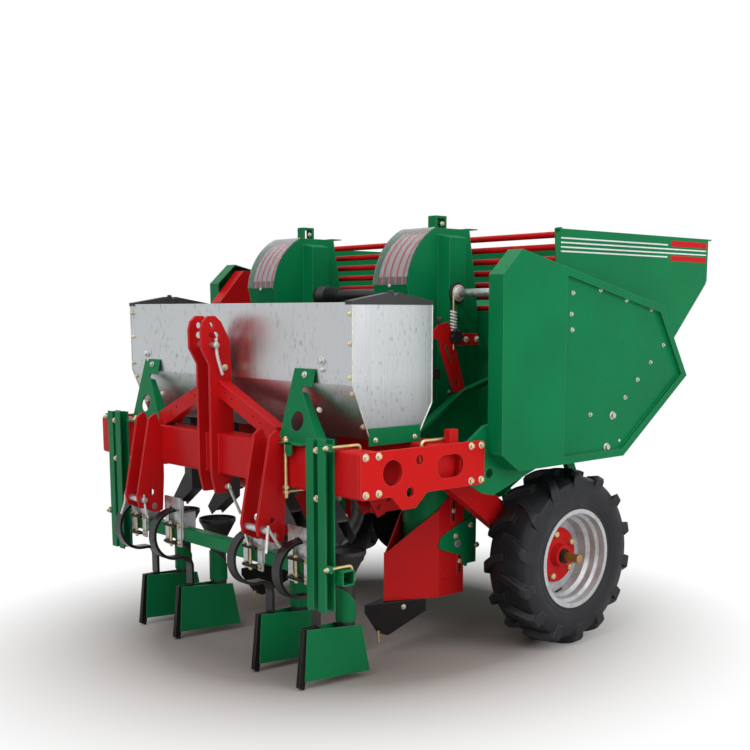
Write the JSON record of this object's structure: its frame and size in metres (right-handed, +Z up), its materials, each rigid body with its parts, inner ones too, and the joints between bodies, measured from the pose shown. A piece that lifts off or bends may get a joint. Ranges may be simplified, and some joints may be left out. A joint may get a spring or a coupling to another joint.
{
  "type": "two-row potato planter",
  "caption": "Mounted potato planter: red three-point frame, steel fertiliser hopper, green cup elevators, high bin, spring-tine openers, lugged ground wheels and covering discs.",
  "frame": {"origin": "on the ground, in the middle of the machine's footprint", "axes": "+X to the machine's left, +Y backwards from the hitch to the bin, +Z up"},
  "size_m": [2.004, 2.3208, 1.833],
  "materials": {
    "green_paint": "gloss enamel",
    "red_paint": "gloss enamel",
    "black_paint": "satin enamel",
    "stainless": "brushed, stained at the seams",
    "galvanised": "galvanised",
    "grey_plastic": "moulded",
    "black_plastic": "moulded",
    "clear_plastic": "clear sheet",
    "belt_rubber": "woven belt",
    "tyre": "lugged tyre",
    "rim_silver": "silver enamel"
  },
  "bodies": {
    "frame": {"agitator_levers": "red_paint", "bin_floor": "green_paint", "bin_side_left": "green_paint", "bin_side_right": "green_paint", "boot_shares": "black_paint", "chain_guard": "red_paint", "cup_belt_left": "belt_rubber", "cup_belt_right": "belt_rubber", "disc_carrier": "green_paint", "drive_shaft": "galvanised", "elevator_hoods": "clear_plastic", "elevator_left": "green_paint", "elevator_right": "green_paint", "feed_trough": "green_paint", "fence_rails": "red_paint", "fertiliser_hopper": "stainless", "fertiliser_spouts": "grey_plastic", "fertiliser_tubes": "black_plastic", "front_beam": "red_paint", "gussets": "green_paint", "hitch_pins": "galvanised", "hopper_caps": "black_plastic", "hopper_end_plates": "green_paint", "hopper_front_brackets": "green_paint", "hopper_rear_stays": "green_paint", "lower_hitch_left": "red_paint", "lower_hitch_right": "red_paint", "lower_shafts": "galvanised", "mast": "red_paint", "mast_struts": "red_paint", "opener_knives": "black_paint", "opener_shields": "green_paint", "post_left": "green_paint", "post_right": "green_paint", "rear_beam": "red_paint", "row_brackets": "red_paint", "row_links": "red_paint", "seed_boot_left": "red_paint", "seed_boot_right": "red_paint", "shaft_guard": "black_plastic", "side_cover_left": "green_paint", "side_cover_right": "green_paint", "side_plate_left": "red_paint", "side_plate_right": "red_paint", "spring_tines": "black_paint", "tine_clamps": "galvanised", "tool_bar": "green_paint", "tube_sleeves": "green_paint", "wheel_arm_left": "red_paint", "wheel_arm_right": "red_paint"},
    "wheel_left": {"tyre_left": "tyre", "rim_left": "rim_silver", "hub_left": "red_paint"},
    "wheel_right": {"tyre_right": "tyre", "rim_right": "rim_silver", "hub_right": "red_paint"},
    "disc_1": {"covering_disc_1": "black_paint"},
    "disc_2": {"covering_disc_2": "black_paint"},
    "disc_3": {"covering_disc_3": "black_paint"},
    "disc_4": {"covering_disc_4": "black_paint"}
  },
  "joints": [
    {"name": "wheel_spin_left", "type": "hinge", "parent": "frame", "child": "wheel_left", "pos_m": [0.82, 0.2205, 0.384], "axis": [1, 0, 0], "continuous": true},
    {"name": "wheel_spin_right", "type": "hinge", "parent": "frame", "child": "wheel_right", "pos_m": [-0.82, 0.2205, 0.384], "axis": [1, 0, 0], "continuous": true},
    {"name": "disc_spin_1", "type": "hinge", "parent": "frame", "child": "disc_1", "pos_m": [-0.58, 0.6125, 0.311], "axis": [-0.9272, 0.3746, 0], "continuous": true},
    {"name": "disc_spin_2", "type": "hinge", "parent": "frame", "child": "disc_2", "pos_m": [-0.32, 0.6125, 0.311], "axis": [0.9272, 0.3746, 0], "continuous": true},
    {"name": "disc_spin_3", "type": "hinge", "parent": "frame", "child": "disc_3", "pos_m": [0.32, 0.6125, 0.311], "axis": [-0.9272, 0.3746, 0], "continuous": true},
    {"name": "disc_spin_4", "type": "hinge", "parent": "frame", "child": "disc_4", "pos_m": [0.58, 0.6125, 0.311], "axis": [0.9272, 0.3746, 0], "continuous": true}
  ]
}
